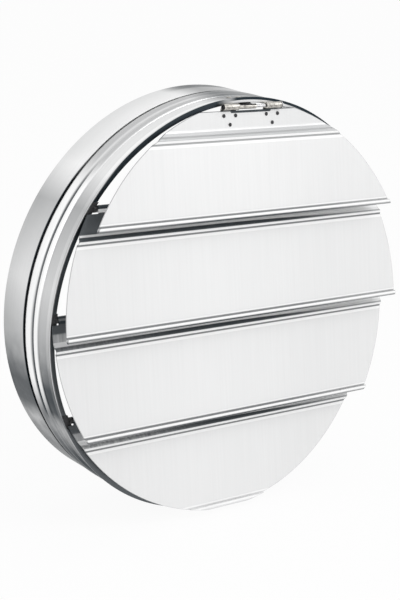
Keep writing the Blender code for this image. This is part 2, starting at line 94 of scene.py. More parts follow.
class CasingSettings(bpy.types.PropertyGroup):
    body_radius: length("Body radius", "Outside of the plain body wall", 0.1993)
    sheet: length("Sheet", "Thickness of the casing's and blades' sheet", 0.0010)
    fit: length("Fit", "Gap between pieces that touch", 0.0003)
    seat_inset: length("Seat inset", "How far the seat reaches inside the body wall", 0.0023)
    hem_proud: length("Hem proud", "How far the folded front stands outside the body wall", 0.0030)
    sleeve_length: length("Sleeve", "Front ring's sleeve over the body", 0.0090)
    body_length: length("Body length", "From the seat back to the body's hidden rear edge", 0.0580)
    collar_front: length("Collar front", "Front edge of the collar behind the seat", 0.0464)
    collar_rear: length("Collar rear", "Rear edge of the collar behind the seat", 0.0802)
    bead_1_centre: length("Rear bead", "Middle of the rear bead behind the seat", 0.0390)
    bead_1_half: length("Rear bead half width", "Half of the rear bead's width", 0.0054)
    bead_2_centre: length("Front bead", "Middle of the front bead behind the seat", 0.0268)
    bead_2_half: length("Front bead half width", "Half of the front bead's width", 0.0034)
    bead_height: length("Bead height", "How far both beads stand out", 0.0019)
    bush_inset: length("Bush inset", "How far a bush reaches into the seat's opening", 0.0012)
    bush_half_height: length("Bush half height", "Half of a bush's height", 0.0062)
    bush_depth: length("Bush depth", "From the seat's front to the back of a bush", 0.0056)
    bush_boss: length("Bush boss", "Radius of the round boss in a bush", 0.0032)


class BladeSettings(bpy.types.PropertyGroup):
    overlap: length("Overlap", "How much of the seat the blades' outline covers", 0.0020)
    pitch: length("Pitch", "Between the axes of neighbouring rods", 0.0978)
    lowest_rise: length("Lowest rise", "Lowest rod above the bottom of the outline", 0.1121)
    rod_back: length("Rod depth", "Rod's axis behind the front of the seat", 0.0019)
    rod_radius: length("Rod radius", "Radius of the rods", 0.0018)
    roll_radius: length("Roll radius", "Middle of the sheet rolled round a rod", 0.0027)
    side_play: length("Side play", "How far a rolled edge can slide to either side", 0.0024)
    side_clearance: length("Side clearance", "Left between a rolled edge and its bush even then", 0.0006)
    top_shift: length("Top blade shift", "Middle of the hinged blade right of the centre line", 0.0012)
    shoulder_drop: length("Shoulder drop", "Where a blade widens, below its axis", 0.0042)
    face_offset: length("Face offset", "How far the face stands in front of the upper strip", 0.0015)
    offset_top: length("Offset top", "Where the sheet leaves the upper strip, below the axis", 0.0205)
    offset_bottom: length("Offset bottom", "Where the sheet reaches the face, below the axis", 0.0240)
    bead_centre: length("Bead centre", "Middle of the stiffening bead below the axis", 0.0273)
    bead_half: length("Bead half height", "Half of the stiffening bead's height", 0.0027)
    bead_depth: length("Bead depth", "How far the stiffening bead stands out", 0.0018)
    lap: length("Lap", "The hem starts this far below the next axis", 0.0124)
    lowest_hem_rise: length("Lowest hem rise", "Raw edge of the lowest hem above the outline", 0.0055)
    hem_height: length("Hem height", "Height of the folded lower edge", 0.0045)
    hem_radius: length("Hem radius", "Middle of the sheet round the fold", 0.0012)
    rest_opening: angle("Rest opening", "How far the blades stand open at rest", 11.3)


class HingeSettings(bpy.types.PropertyGroup):
    drop: length("Hinge drop", "Axis below the top of the seat's opening", 0.0025)
    forward: length("Hinge forward", "Axis in front of the seat", 0.0044)
    offset: length("Hinge offset", "Hinge centre right of the casing's centre line", 0.0042)
    strip_y: length("Strip", "Upper strip of the hinged blade behind the axis", 0.0026)
    strip_drop: length("Strip drop", "Upper edge of the hinged blade below the axis", 0.0034)
    leaf_centre: length("Leaf centre", "Middle of each leaf from the hinge centre", 0.0254)
    leaf_width: length("Leaf width", "Width of each leaf", 0.0177)
    leaf_sheet: length("Leaf sheet", "Thickness of the leaves", 0.0012)
    leaf_drop: length("Leaf drop", "Lower edge of a leaf below the axis", 0.0190)
    leaf_y: length("Leaf", "Middle of a leaf behind the axis", 0.0040)
    knuckle_radius: length("Knuckle radius", "Middle of the rolled leaf", 0.00245)
    pin_radius: length("Pin radius", "Radius of the hinge pin", 0.0014)
    barrel_radius: length("Barrel radius", "Middle of the bracket's rolled barrel", 0.0020)
    bracket_sheet: length("Bracket sheet", "Thickness of the bracket", 0.0006)
    bracket_width: length("Bracket width", "Width of the bracket", 0.0200)
    bracket_centre: length("Bracket centre", "Middle of the bracket from the hinge centre", -0.0061)
    bracket_length: length("Bracket length", "From the axis back to the bracket's rear edge", 0.0280)
    bracket_low: length("Bracket low", "Strip above the axis where it passes the seat", 0.0012)
    bracket_high: length("Bracket high", "Strip above the axis under the casing", 0.0022)


class FinishSettings(bpy.types.PropertyGroup):
    blade: colour("Blade sheet", "Blades' colour", (0.86, 0.86, 0.86))
    # Painted shade: the upper strip of a lapped blade, darkened where the blade above laps over it
    strip_shade: colour("Lapped strip", "Dull upper strip of the lapped blades", (0.075, 0.09, 0.10))
    zinc: colour("Zinc", "Hinge leaves and bracket", (0.62, 0.60, 0.56))
    steel: colour("Bright steel", "Hinge pin and clip", (0.70, 0.70, 0.71))
    # Painted shade: the rods are painted far darker than bright steel, for the shade inside the rolled edges
    shaded_rod_steel: colour("Rod steel", "Rods in the rolled edges", (0.20, 0.20, 0.21))
    # Dark steel also paints the shade round the hinge's barrel and knuckles and over the pin's end
    dark_steel: colour("Dark steel", "Rivets and pin ends", (0.03, 0.03, 0.032))
    plastic: colour("Plastic", "Bushes", (0.012, 0.012, 0.013))


class StageSettings(bpy.types.PropertyGroup):
    camera_place: bpy.props.FloatVectorProperty(
        name="Camera place",
        description="Where the camera stands",
        default=(-0.95815, -1.20773, 0.42821),
        size=3,
        subtype="XYZ",
        unit="LENGTH",
    )
    camera_yaw: angle("Camera turn", "Camera's turn to the right of +Y", 39.292)
    camera_pitch: angle("Camera pitch", "How far the camera looks down", 15.967)
    camera_roll: angle("Camera roll", "Camera's roll", 4.584)
    lens: bpy.props.FloatProperty(name="Lens", description="Focal length", default=96.73, unit="CAMERA")
    floor: colour("Floor", "Floor's colour", (0.93, 0.93, 0.93))
    ambient: amount("Ambient", "Soft light from all round", 0.62)


def setting(group):
    return getattr(bpy.context.scene, f"louvre_{group}")


# Sheet-metal helpers --------------------------------------------------------------------------------------


def arc(centre, radius, start, stop, count):
    """Points on an arc in degrees, both ends included."""
    angles = [math.radians(start + (stop - start) * step / (count - 1)) for step in range(count)]
    return [(centre[0] + radius * math.cos(a), centre[1] + radius * math.sin(a)) for a in angles]


def ridge(centre, half_width, height, count):
    """Points along a rounded ridge, from one foot to the other, as (position, height)."""
    positions = [-1 + 2 * step / (count - 1) for step in range(count)]
    return [(centre + half_width * p, height * math.cos(p * math.pi / 2) ** 0.7) for p in positions]


def round_corners(path, radius, steps=5):
    """Replace the inner corners of a path with arcs, no longer than half of the sides they join."""
    points = [Vector(point) for point in path]
    out = [points[0]]
    for before, corner, after in zip(points, points[1:], points[2:]):
        arrive = (corner - before).normalized()
        leave = (after - corner).normalized()
        turn = arrive.angle(leave, 0.0)
        if turn < 0.02:
            out.append(corner)
            continue
        room = 0.49 * min((corner - before).length, (after - corner).length)
        back = min(radius * math.tan(turn / 2), room)
        start = corner - arrive * back
        stop = corner + leave * back
        for step in range(steps + 1):
            t = step / steps
            out.append(start * (1 - t) ** 2 + corner * (2 * t * (1 - t)) + stop * t**2)
    out.append(points[-1])
    return out


def subdivide(path, spacing):
    """Add points along a path so that none are further apart than the spacing."""
    points = [Vector(point) for point in path]
    out = [points[0]]
    for before, after in zip(points, points[1:]):
        count = max(1, math.ceil((after - before).length / spacing))
        out += [before.lerp(after, step / count) for step in range(1, count + 1)]
    return out


def sheet_sides(path, thickness):
    """Both faces of a sheet whose middle follows a path."""
    points = [Vector(point) for point in path]
    directions = [(after - before).normalized() for before, after in zip(points, points[1:])]
    normals = [Vector((-way.y, way.x)) for way in directions]
    left = []
    right = []
    for index, point in enumerate(points):
        first = normals[max(index - 1, 0)]
        second = normals[min(index, len(normals) - 1)]
        mitre = (first + second).normalized()
        reach = thickness / 2 / mitre.dot(first)
        left.append(point + mitre * reach)
        right.append(point - mitre * reach)
    return left, right


def softened_loop(path, thickness):
    """Closed section of a sheet, with a small chamfer along both of its cut edges."""
    left, right = sheet_sides(path, thickness)
    chamfer = thickness * 0.22
    for side in (left, right):
        for end, inner in ((0, 1), (-1, -2)):
            side[end] = side[end] + (side[inner] - side[end]).normalized() * chamfer
    loop = list(left)
    for end, sides in ((-1, (left, right)), (0, (right, left))):
        for near, far in (sides, sides[::-1]):
            inner = -2 if end == -1 else 1
            outward = (near[end] - near[inner]).normalized() * chamfer
            inward = (far[end] - near[end]).normalized() * chamfer
            loop.append(near[end] + outward + inward)
        if end == -1:
            loop += right[::-1]
    return loop


def mesh_piece(name, work, location, tilt=0.0, sharp=SHARP_EDGE):
    """Turn a bmesh into a shaded object at its place."""
    bmesh.ops.remove_doubles(work, verts=work.verts, dist=TOUCHING)
    bmesh.ops.recalc_face_normals(work, faces=work.faces)
    mesh = bpy.data.meshes.new(name)
    work.to_mesh(mesh)
    work.free()
    shade_smooth(mesh, sharp)
    piece = bpy.data.objects.new(name, mesh)
    bpy.context.scene.collection.objects.link(piece)
    piece.location = location
    piece.rotation_euler = (tilt, 0.0, 0.0)
    return piece


def shade_smooth(mesh, sharp):
    """Shade smooth, with edges sharp above an angle in degrees."""
    mesh.shade_smooth()
    mesh.set_sharp_from_angle(angle=math.radians(sharp))


def add_rings(work, rings, closed):
    """Skin a list of equal rings of points; closed joins the last ring to the first."""
    rows = [[work.verts.new(point) for point in ring] for ring in rings]
    pairs = list(zip(rows, rows[1:]))
    if closed:
        pairs.append((rows[-1], rows[0]))
    for low, high in pairs:
        for a, b, c, d in zip(low, low[1:] + low[:1], high[1:] + high[:1], high):
            work.faces.new((a, b, c, d))
    return rows


def turned_work(loop, steps):
    """Turn a closed (radius, y) loop about Y."""
    work = bmesh.new()
    add_rings(work, turned_rings(loop, steps), closed=True)
    return work


def turned_rings(profile, steps):
    """Copies of a (radius, y) profile at equal steps about Y."""
    turns = [FULL_TURN * step / steps for step in range(steps)]
    return [[(r * math.cos(turn), y, r * math.sin(turn)) for r, y in profile] for turn in turns]


def turned_solid(profile, steps):
    """Turn an open (radius, y) profile that starts and ends on the Y axis."""
    work = bmesh.new()
    rows = [[work.verts.new(point) for point in ring] for ring in turned_rings(profile, steps)]
    for low, high in zip(rows, rows[1:] + rows[:1]):
        for a, b, c, d in zip(low, low[1:], high[1:], high):
            work.faces.new((a, b, c, d))
    bmesh.ops.remove_doubles(work, verts=work.verts, dist=TOUCHING)
    bmesh.ops.dissolve_degenerate(work, edges=work.edges, dist=TOUCHING)
    return work


def lay_along_x(work):
    """Turn a shape about Y into one about X."""
    bmesh.ops.rotate(work, matrix=Matrix.Rotation(math.radians(-90), 3, "Z"), verts=work.verts)
    return work


def folded_work(loop, half_width, soften):
    """Run a closed (y, z) loop of vectors along X, with its two ends drawn in a little."""
    neighbours = zip(loop[-1:] + loop[:-1], loop[1:] + loop[:1])
    ways = [(after - before).normalized() for before, after in neighbours]
    inward = [Vector((-way.y, way.x)) for way in ways]
    sign = turn_sign(loop)
    drawn_in = [point + way * soften * sign for point, way in zip(loop, inward)]
    stations = (
        (-half_width, drawn_in),
        (-half_width + soften, loop),
        (half_width - soften, loop),
        (half_width, drawn_in),
    )
    work = bmesh.new()
    rows = add_rings(work, [[(x, y, z) for y, z in section] for x, section in stations], closed=False)
    for row in (rows[0], rows[-1]):
        work.faces.new(row)
    return work


def turn_sign(loop):
    """1 for a loop that runs anticlockwise, -1 for clockwise."""
    area = 0.0
    for (x0, y0), (x1, y1) in zip(loop, loop[1:] + loop[:1]):
        area += x0 * y1 - x1 * y0
    return 1 if area > 0 else -1


def combine(piece, other, operation):
    """Apply a Boolean to a piece and remove the other object."""
    modifier = piece.modifiers.new("combine", "BOOLEAN")
    modifier.operation = operation
    modifier.object = other
    modifier.solver = "EXACT"
    apply_modifiers(piece)
    bpy.data.objects.remove(other, do_unlink=True)


def apply_modifiers(piece):
    bpy.context.view_layer.update()
    graph = bpy.context.evaluated_depsgraph_get()
    mesh = bpy.data.meshes.new_from_object(piece.evaluated_get(graph))
    old = piece.data
    piece.modifiers.clear()
    piece.data = mesh
    bpy.data.meshes.remove(old)
    mesh.name = piece.name


def soften_edges(piece, width):
    bevel = piece.modifiers.new("soften", "BEVEL")
    bevel.width = width
    bevel.segments = 2
    bevel.limit_method = "ANGLE"
    bevel.angle_limit = math.radians(SHARP_FOLD)
    apply_modifiers(piece)


# Shader helpers -------------------------------------------------------------------------------------------


class Socket:
    """A node's output that takes part in ordinary arithmetic."""

    def __init__(self, finish, output):
        self.finish = finish
        self.output = output

    def worked(self, operation, first, second=None):
        values = {0: first}
        if second is not None:
            values[1] = second
        return self.finish.node("ShaderNodeMath", {"operation": operation}, values)

    def __add__(self, other):
        return self.worked("ADD", self, other)

    __radd__ = __add__

    def __mul__(self, other):
        return self.worked("MULTIPLY", self, other)

    __rmul__ = __mul__

    def __sub__(self, other):
        return self.worked("SUBTRACT", self, other)

    def __rsub__(self, other):
        return self.worked("SUBTRACT", other, self)

    def __truediv__(self, other):
        return self.worked("DIVIDE", self, other)

    def __pow__(self, other):
        return self.worked("POWER", self, other)

    def __abs__(self):
        return self.worked("ABSOLUTE", self)


class Finish:
    """The nodes of a material or of the world, under construction."""

    def __init__(self, owner):
        owner.use_nodes = True
        self.material = owner
        self.tree = owner.node_tree
        self.shader = self.tree.nodes.get("Principled BSDF")

    def node(self, kind, settings=None, values=None, output=0):
        """Add a node, set it up, fill or link its sockets and return one of its outputs."""
        added = self.tree.nodes.new(kind)
        for key, value in (settings or {}).items():
            if key == "stops":
                self.set_stops(added.color_ramp, value)
            else:
                setattr(added, key, value)
        for key, value in (values or {}).items():
            self.fill(self.find(added.inputs, key), value)
        return Socket(self, self.find(added.outputs, output))

    @staticmethod
    def set_stops(ramp, stops):
        while len(ramp.elements) < len(stops):
            ramp.elements.new(1.0)
        for element, (position, shade) in zip(ramp.elements, stops):
            element.position = position
            element.color = (*shade, 1.0)

    @staticmethod
    def find(sockets, key):
        if isinstance(key, int):
            return [socket for socket in sockets if socket.enabled][key]
        return next(socket for socket in sockets if socket.enabled and socket.name == key)

    def fill(self, socket, value):
        if isinstance(value, Socket):
            self.tree.links.new(value.output, socket)
        elif socket.type == "RGBA":
            socket.default_value = (*value[:3], 1.0)
        else:
            socket.default_value = value

    def set(self, name, value):
        self.fill(self.find(self.shader.inputs, name), value)

    def mix(self, factor, first, second):
        settings = {"data_type": "RGBA", "clamp_factor": True}
        return self.node("ShaderNodeMix", settings, {"Factor": factor, "A": first, "B": second}, "Result")

    def place(self):
        """Object coordinates as a vector and as x, y and z."""
        vector = self.node("ShaderNodeTexCoord", None, None, "Object")
        return vector, *[self.node("ShaderNodeSeparateXYZ", None, {"Vector": vector}, axis) for axis in "XYZ"]

    def vector(self, x, y, z):
        return self.node("ShaderNodeCombineXYZ", None, {"X": x, "Y": y, "Z": z})

    def noise(self, vector, scale, detail):
        values = {"Vector": vector, "Scale": scale, "Detail": detail}
        return self.node("ShaderNodeTexNoise", None, values, "Fac")

    def between(self, value, low, high):
        """0 at low and below, 1 at high and above, smooth in the middle."""
        settings = {"interpolation_type": "SMOOTHSTEP", "clamp": True}
        values = {"Value": value, "From Min": low, "From Max": high, "To Min": 0.0, "To Max": 1.0}
        return self.node("ShaderNodeMapRange", settings, values, "Result")

    def span(self, value, rise, fall):
        """0 before the rise, 1 from there to the fall, 0 after it; both are pairs of low and high."""
        return self.between(value, *rise) * (1 - self.between(value, *fall))

    def band(self, value, centre, half_width, softness):
        """1 within a band about a centre, 0 outside it."""
        return 1 - self.between(abs(value - centre), half_width - softness, half_width + softness)

    def ramp(self, value, tones):
        """Grey tones along a value from 0 to 1."""
        stops = [(position, (tone, tone, tone)) for position, tone in tones]
        return self.node("ShaderNodeValToRGB", {"stops": stops}, {"Fac": value}, "Color")

    @staticmethod
    def blend(factor, first, second):
        """Between two tones."""
        return first * (1 - factor) + second * factor

    @staticmethod
    def darken(tone, where, share):
        """A tone less a share of itself, where a mask from 0 to 1 says."""
        return tone * (1 - where * share)

    def cool(self, tone):
        """A tone as a colour, bluer where it is darker."""
        return self.mix(tone, (0.0, 0.010, 0.018), (1.0, 1.0, 1.0))

    def bump(self, height, strength, distance):
        values = {"Height": height, "Strength": strength, "Distance": distance}
        self.set("Normal", self.node("ShaderNodeBump", None, values))


def new_finish(name):
    return Finish(bpy.data.materials.new(name))


# Finishes -------------------------------------------------------------------------------------------------


# Broad bands of light and shade round the sheet, as (share of a turn from the bottom, tone).
# The left side is at a share of 0.25 and the top at 0.5.
CASING_TONES = (
    (0.00, 0.07),
    (0.14, 0.10),
    (0.165, 0.40),
    (0.18, 0.05),
    (0.20, 0.06),
    (0.225, 0.34),
    (0.28, 0.65),
    (0.34, 0.42),
    (0.37, 0.80),
    (0.47, 0.78),
    (0.49, 0.30),
    (0.56, 0.65),
    (1.00, 0.12),
)
# Painted light and shade on the seat's front face round the turn, in the same form
SEAT_TONES = (
    (0.00, 0.10),
    (0.20, 0.12),
    (0.35, 0.03),
    (0.475, 0.04),
    (0.49, 0.80),
    (0.60, 0.85),
    (1.00, 0.30),
)


# Where a painted light or shade fades in, and out again, in the same shares of a turn
SIDE = ((0.165, 0.210), (0.352, 0.385))
CROWN = ((0.465, 0.490), (0.520, 0.540))
RING_TOP = ((0.480, 0.492), (0.660, 0.700))
RING_FAR = (0.530, 0.575)
ABOVE_LOWER_LEFT = (0.200, 0.250)


class Round:
    """What the casing's finishes share: how far round, how far out, and the painted light and shade met
    there.
    """

    def __init__(self, finish):
        self.vector, x, self.y, z = finish.place()
        self.radius = (x * x + z * z) ** 0.5
        around = finish.node("ShaderNodeMath", {"operation": "ARCTAN2"}, {0: x, 1: z})
        self.turn = around / FULL_TURN + 0.5
        self.drawn = finish.noise(finish.vector(self.turn * 9.0, self.y * 800.0, 0.0), 1.0, 3.0)
        self.cloudy = finish.noise(self.vector, 26.0, 3.0)
        wander = (finish.noise(self.vector, 11.0, 2.0) - 0.5) * 0.016
        # Painted reflections, mottled, over the lower left
        mottled_reflection = finish.noise(finish.vector(self.turn * 60.0, self.y * 60.0, 0.0), 1.0, 3.0)
        lower = 1 - finish.between(self.turn, *ABOVE_LOWER_LEFT)
        self.tone = finish.ramp(self.turn + wander, CASING_TONES) * (1 + lower * 1.6 * (mottled_reflection - 0.5))
        # The left side, where painted light falls
        self.side = finish.span(self.turn, *SIDE)


def galvanised_finish(finish, around, tone):
    """Satin galvanised sheet, drawn round the casing and faintly spangled."""
    spangle = finish.node(
        "ShaderNodeTexVoronoi", {"feature": "F1"}, {"Vector": around.vector, "Scale": 160.0}, "Distance"
    )
    grain = 0.90 + 0.12 * around.drawn + 0.08 * around.cloudy
    # The tone it is given holds the casing's painted light and shade
    finish.set("Base Color", finish.cool(tone * grain))
    finish.set("Metallic", 1.0)
    finish.set("Roughness", 0.27 + 0.12 * around.drawn + 0.06 * spangle)
    finish.bump(around.drawn * 0.6 + around.cloudy * 0.4, 0.12, 0.0002)
    return finish.material


def collar_finish():
    """Smooth collar: painted lighter where it laps over the body and on the lit side, with a painted shadow
    line along its front edge and a painted dark patch at its crown.
    """
    case = setting("casing")
    finish = new_finish("collar_galvanised")
    around = Round(finish)
    rear = finish.between(around.y, case.collar_front - 0.004, case.collar_rear + 0.004)
    edge = 1 - finish.between(around.y, case.collar_front + 0.0004, case.collar_front + 0.0009)
    # Painted light: lighter towards the front and on the lit side
    tone = around.tone * (1.10 - 0.18 * rear) * (1 + 0.12 * around.side)
    # Painted shadow line along the front edge, on the lit side
    tone = finish.darken(tone, edge * around.side, 0.93)
    # Painted dark patch at the crown, towards the rear rim
    crown = finish.span(around.turn, *CROWN)
    rim = finish.between(around.y, case.collar_rear - 0.017, case.collar_rear - 0.009)
    return galvanised_finish(finish, around, finish.darken(tone, crown * rim, 0.80))


def body_finish():
    """Beaded body: painted highlights on the crests, painted shade in the valley and a painted shadow in the
    groove where the collar starts.
    """
    case = setting("casing")
    finish = new_finish("body_galvanised")
    around = Round(finish)
    wall = case.body_radius
    crest = finish.between(around.radius, wall + 0.10 * case.bead_height, wall + 0.70 * case.bead_height)
    valley_y = (case.bead_1_centre - case.bead_1_half + case.bead_2_centre + case.bead_2_half) / 2
    groove_y = (case.bead_1_centre + case.bead_1_half + case.collar_front) / 2
    # Painted shade in the valley between the beads and a painted shadow in the groove, both deeper on the
    # left side
    valley = finish.band(around.y, valley_y, 0.0016, 0.0009)
    groove = finish.band(around.y, groove_y, 0.0016, 0.0003)
    # Painted highlights on the crests: near white on the left side, darker elsewhere
    crest_highlight = 0.94 * around.side + around.tone * 0.68 * (1 - around.side)
    tone = finish.blend(crest, around.tone, crest_highlight)
    tone = finish.darken(tone, valley, 0.22 + 0.56 * around.side)
    tone = finish.darken(tone, groove, 0.35 + 0.64 * around.side)
    return galvanised_finish(finish, around, tone)


def ring_finish():
    """Front ring: a painted lighter band on the sleeve, a painted shade line before the fold, painted
    highlights on the fold, a painted dark outline at the top, and a seat darkened by painted shade from the
    blades.
    """
    case = setting("casing")
    wall = case.body_radius
    hem_back = 2 * case.sheet + case.fit / 2
    finish = new_finish("ring_galvanised")
    around = Round(finish)
    # Painted light on the sleeve and a painted shade line before the fold, away from the left side
    sleeve = finish.band(around.y, case.sleeve_length - 0.0024, 0.0022, 0.0005)
    line = finish.band(around.y, hem_back + 0.00095, 0.0008, 0.0003)
    tone = around.tone * (1.0 + 0.16 * sleeve - 0.36 * line * (1 - around.side))
    front = 1 - finish.between(around.y, 0.0001, 0.0005)
    # A painted dark outline along the top of the fold
    outer = finish.between(around.radius, wall + 0.0003, wall + 0.0007)
    far = finish.between(around.turn, *RING_FAR)
    wide_outer = finish.between(around.radius, wall - 0.0010, wall - 0.0006)
    top = finish.span(around.turn, *RING_TOP)
    outline = top * finish.blend(far, outer, wide_outer)
    # The seat's front face takes painted light and shade round the turn, with a painted highlight on the fold
    # on the left side
    hem = finish.between(around.radius, wall + 0.0018, wall + 0.0022)
    corner = finish.between(around.radius, wall + 0.0026, wall + 0.0029)
    seat = finish.blend(hem * around.side, finish.ramp(around.turn, SEAT_TONES), 0.40 + 0.55 * corner)
    tone = finish.blend(front, tone, seat)
    # Painted shade at the seat's inner edge near the top
    inner = 1 - finish.between(around.radius, seat_radius() + 0.0003, seat_radius() + 0.0007)
    tone = finish.darken(tone, top * inner * (1 - far), 0.9)
    return galvanised_finish(finish, around, finish.darken(tone, outline, 0.97))


def blade_finish(number, height, strip_top, hem_top):
    """Pale sheet brushed up and down, with painted shade where the blade above laps over it and in its folds,
    and painted highlights along its bends and hem.
    """
    paint = setting("finish")
    blade = setting("blades")
    lapped = number > 1
    lowest = number == 4
    finish = new_finish(f"blade_{number}_brushed")
    vector, x, y, z = finish.place()
    outward = z + height
    radius = (x * x + outward * outward) ** 0.5
    brushed = finish.noise(finish.vector(x * 420.0, y * 420.0, z * 9.0), 1.0, 3.0)
    cloudy = finish.noise(vector, 14.0, 2.0)
    speck = finish.noise(vector, 900.0, 1.0)
    right = finish.between(x, -0.02, 0.15)
    left = 1 - finish.between(x, -0.20, -0.06)
    # Painted shade: the face is darker towards both ends
    tone = paint.blade[0] * (0.93 + 0.07 * brushed + 0.02 * cloudy) * (1 - 0.05 * left - 0.04 * right)
    roll = blade.roll_radius + setting("casing").sheet / 2
    foot_z = -blade.bead_centre - blade.bead_half
    bottom = -hem_top - blade.hem_height
    depth = 0.93 if lapped else 0.45            # of the shade in the fold above the bead
    if lapped:
        # Painted shade on the upper strip that the blade above laps over, painted lighter at the left end of
        # the lower blades
        strip_low = -blade.offset_top + (-0.0009 if number == 2 else 0.0013)
        strip_shade = paint.strip_shade[0] * (0.9 + 0.5 * cloudy)
        if number > 2:
            left_end = 1 - finish.between(x, -0.16, -0.06 if number == 3 else 0.0)
            strip_shade = strip_shade + 0.55 * brushed * left_end * finish.band(z, -0.0172, 0.0050, 0.0010)
            depth = depth * (1 - (0.3 if number == 3 else 0.9) * brushed * left_end)
        tone = finish.blend(finish.between(z, strip_low - 0.0008, strip_low), tone, strip_shade)
        # The roll is painted dark, with a painted highlight along it that is strong on the second blade
        middle, half, shine = (-0.0018, 0.0016, 0.95) if number == 2 else (0.0002, 0.0010, 0.16)
        lit = shine * finish.band(z, middle, half, 0.0004)
        tone = finish.blend(finish.between(z, -roll - 0.0005, -roll), tone, 0.03 + lit)
        fold_top = -blade.offset_bottom + 0.0003 - 0.0022 * right
    else:
        # Painted shadow along the top edge, deeper under the hinge's barrel, and painted shade on the upper
        # strip
        under_barrel = finish.band(x, hinge_under_barrel(), 0.024, 0.001)
        edge = finish.between(z + 0.0017 * under_barrel, -strip_top - 0.0007, -strip_top - 0.0003)
        upper_strip = finish.between(z, -blade.offset_top - 0.0005, -blade.offset_top + 0.0005)
        tone = finish.darken(finish.darken(tone, edge, 0.95), upper_strip, 0.07)
        fold_top = -blade.offset_top - 0.0004
    # Painted shade in the fold above the bead, lighter to the right
    above_crest = finish.between(z, -blade.bead_centre - 0.0004, -blade.bead_centre + 0.0003)
    shaded = above_crest * (1 - finish.between(z - fold_top, -0.0004, 0.0004))
    far_right = finish.between(x, 0.05, 0.17)
    tone = finish.darken(tone, shaded, depth * (1 - 0.40 * far_right))
    # Painted shadow line at the bead's foot
    foot = finish.band(z, foot_z - 0.0005, 0.0009, 0.0003)
    tone = finish.darken(tone, foot, 0.72 if lapped else 0.50)
    # Painted shadow line at the hem's raw edge
    raw = finish.band(z, -hem_top + 0.0003, 0.0009, 0.0003)
    tone = finish.darken(tone, raw, (0.08 if lowest else 0.62) * (1 - 0.35 * far_right))
    # Painted shade on the lower part of the hem's fold
    lower = 1 - finish.between(z, -hem_top - 0.0033, -hem_top - 0.0022)
    tone = finish.darken(tone, lower, (0.05 if lowest else 0.45) * (1 - 0.6 * right))
    # Painted highlights: the bead's crest, below its foot, above the raw edge and along the hem
    highlight_lines = (
        (-blade.bead_centre - 0.0013, 0.0009, 0.0003),
        (foot_z - 0.0028, 0.0012, 0.0004),
        (-hem_top + 0.0020, 0.0006, 0.0003),
        (-hem_top - 0.0014, 0.0008, 0.0003),
    )
    tone = finish.blend(sum(finish.band(z, *line) for line in highlight_lines), tone, 0.98)
    # Painted shade along the bottom of the hem, heavier to the left
    under = 1 - finish.between(z, bottom + 0.0011, bottom + 0.0019)
    heavier = finish.between(x, -0.14, -0.05)
    tone = finish.darken(tone, under, 0.03 if lowest else 0.55 + 0.35 * heavier - 0.40 * far_right)
    # Painted shade along the cut edge of the outline
    outline = seat_radius() + blade.overlap
    cut = finish.between(radius, outline - 0.0004, outline - 0.0002)
    tone = finish.darken(tone, cut, 0.34)
    finish.set("Base Color", finish.cool(tone))
    finish.set("Metallic", 0.35)
    finish.set("Roughness", 0.36 + 0.12 * brushed)
    finish.bump(brushed * 0.7 + speck * 0.3, 0.10, 0.0002)
    return finish.material


def hinge_under_barrel():
    """Middle of the hinge in the hinged blade's own x."""
    return setting("hinge").offset - setting("blades").top_shift


def plated_finish(name, shade, roughness, scale, shade_places=None):
    """Small plated or drawn steel pieces with a fine mottle; the optional mask says where shade is painted on
    them in dark steel.
    """
    finish = new_finish(name)
    vector, x, y, z = finish.place()
    drawn = finish.noise(finish.vector(x * scale * 0.15, y * scale, z * scale), 1.0, 2.0)
    mottle = finish.noise(vector, scale * 0.6, 2.0)
    patches = finish.between(mottle * 0.7 + drawn * 0.3, 0.32, 0.62)
    plated = finish.mix(patches, tuple(c * 0.45 for c in shade), shade)
    if shade_places:
        plated = finish.mix(shade_places(finish, x, y, z), plated, setting("finish").dark_steel)
    finish.set("Base Color", plated)
    finish.set("Metallic", 1.0)
    finish.set("Roughness", roughness + 0.15 * mottle)
    finish.bump(drawn, 0.15, 0.0001)
    return finish.material


def barrel_shade(finish, x, y, z):
    """Painted shade above and below the bracket's barrel."""
    outer = setting("hinge").barrel_radius + setting("hinge").bracket_sheet / 2
    above = finish.between(z, 0.45 * outer, 0.62 * outer)
    return above + 1 - finish.between(z, -0.75 * outer, -0.58 * outer)


def knuckle_shade(finish, x, y, z):
    """Painted shade under a knuckle, where its leaf goes behind the blade."""
    outer = setting("hinge").knuckle_radius + setting("hinge").leaf_sheet / 2
    return 1 - finish.between(z, -0.95 * outer, -0.80 * outer)


def pin_end_shade(finish, x, y, z):
    """Painted shade over the pin's head, in the open end of the left knuckle."""
    end = setting("hinge").leaf_centre + setting("hinge").leaf_width / 2
    return 1 - finish.between(x, -end - 0.0002, -end)


def dark_finish(name, shade, metallic):
    """Blackened steel or moulded black plastic with a fine texture."""
    finish = new_finish(name)
    vector = finish.place()[0]
    grain = finish.noise(vector, 1800.0, 2.0)
    dusty = finish.noise(vector, 150.0, 2.0)
    finish.set("Base Color", finish.mix(dusty, shade, tuple(c * 2.2 for c in shade)))
    finish.set("Metallic", metallic)
    finish.set("Roughness", 0.42 + 0.2 * grain)
    finish.bump(grain, 0.2, 0.0001)
    return finish.material


def dress(piece, material, body, slot, *nodes):
    """Give a piece its finish, let it ride on its body and stand for its nodes."""
    piece.data.materials.clear()
    piece.data.materials.append(material)
    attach(piece, body)
    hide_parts(*nodes)


# Casing ---------------------------------------------------------------------------------------------------


def casing_place():
    return (0.0, -setting("casing").collar_rear, 0.0)


def wall_middle():
    case = setting("casing")
    return case.body_radius - case.sheet / 2


def sleeve_middle():
    case = setting("casing")
    return wall_middle() + case.sheet + case.fit


def seat_radius():
    case = setting("casing")
    return case.body_radius - case.seat_inset


def rod_heights():
    blade = setting("blades")
    lowest = blade.lowest_rise - seat_radius() - blade.overlap
    return {4 - index: lowest + index * blade.pitch for index in range(3)}


